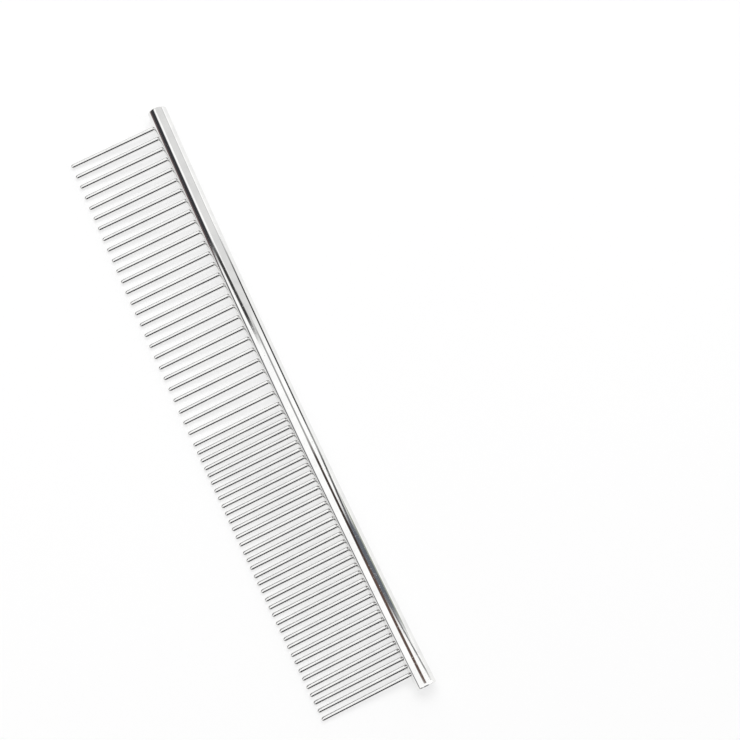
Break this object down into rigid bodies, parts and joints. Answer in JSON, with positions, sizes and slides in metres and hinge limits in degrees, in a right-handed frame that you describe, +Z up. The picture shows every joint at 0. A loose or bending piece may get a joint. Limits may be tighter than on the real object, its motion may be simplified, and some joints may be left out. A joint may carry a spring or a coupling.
{
  "type": "grooming comb",
  "caption": "Steel grooming comb: a plain round bar with a row of straight round-tipped wire teeth, coarse at one end and fine at the other, lying flat on its side.",
  "frame": {"origin": "middle of the comb's outline seen from above, on the table that it lies on", "axes": "+X along the bar from the coarse end to the fine end, -Y from the bar towards the tooth tips, +Z up from the table"},
  "size_m": [0.1902, 0.035, 0.006],
  "materials": {
    "bar_steel": "bright nickel-chrome plate on a polished steel bar, with faint lengthwise polishing lines, fine dents and specks",
    "tooth_steel": "bright nickel-chrome plate on drawn steel wire, polished along its length, rounded at the tip"
  },
  "bodies": {
    "root": {"spine_bar": "bar_steel", "coarse_tooth_01": "tooth_steel", "coarse_tooth_02": "tooth_steel", "coarse_tooth_03": "tooth_steel", "coarse_tooth_04": "tooth_steel", "coarse_tooth_05": "tooth_steel", "coarse_tooth_06": "tooth_steel", "coarse_tooth_07": "tooth_steel", "coarse_tooth_08": "tooth_steel", "coarse_tooth_09": "tooth_steel", "coarse_tooth_10": "tooth_steel", "coarse_tooth_11": "tooth_steel", "coarse_tooth_12": "tooth_steel", "coarse_tooth_13": "tooth_steel", "coarse_tooth_14": "tooth_steel", "coarse_tooth_15": "tooth_steel", "coarse_tooth_16": "tooth_steel", "coarse_tooth_17": "tooth_steel", "coarse_tooth_18": "tooth_steel", "coarse_tooth_19": "tooth_steel", "coarse_tooth_20": "tooth_steel", "coarse_tooth_21": "tooth_steel", "coarse_tooth_22": "tooth_steel", "coarse_tooth_23": "tooth_steel", "coarse_tooth_24": "tooth_steel", "coarse_tooth_25": "tooth_steel", "coarse_tooth_26": "tooth_steel", "coarse_tooth_27": "tooth_steel", "fine_tooth_01": "tooth_steel", "fine_tooth_02": "tooth_steel", "fine_tooth_03": "tooth_steel", "fine_tooth_04": "tooth_steel", "fine_tooth_05": "tooth_steel", "fine_tooth_06": "tooth_steel", "fine_tooth_07": "tooth_steel", "fine_tooth_08": "tooth_steel", "fine_tooth_09": "tooth_steel", "fine_tooth_10": "tooth_steel", "fine_tooth_11": "tooth_steel", "fine_tooth_12": "tooth_steel", "fine_tooth_13": "tooth_steel", "fine_tooth_14": "tooth_steel", "fine_tooth_15": "tooth_steel", "fine_tooth_16": "tooth_steel", "fine_tooth_17": "tooth_steel", "fine_tooth_18": "tooth_steel", "fine_tooth_19": "tooth_steel", "fine_tooth_20": "tooth_steel", "fine_tooth_21": "tooth_steel", "fine_tooth_22": "tooth_steel", "fine_tooth_23": "tooth_steel", "fine_tooth_24": "tooth_steel", "fine_tooth_25": "tooth_steel", "fine_tooth_26": "tooth_steel", "fine_tooth_27": "tooth_steel", "fine_tooth_28": "tooth_steel", "fine_tooth_29": "tooth_steel", "fine_tooth_pair_1": "tooth_steel", "fine_tooth_pair_2": "tooth_steel", "fine_tooth_pair_3": "tooth_steel"}
  },
  "joints": []
}
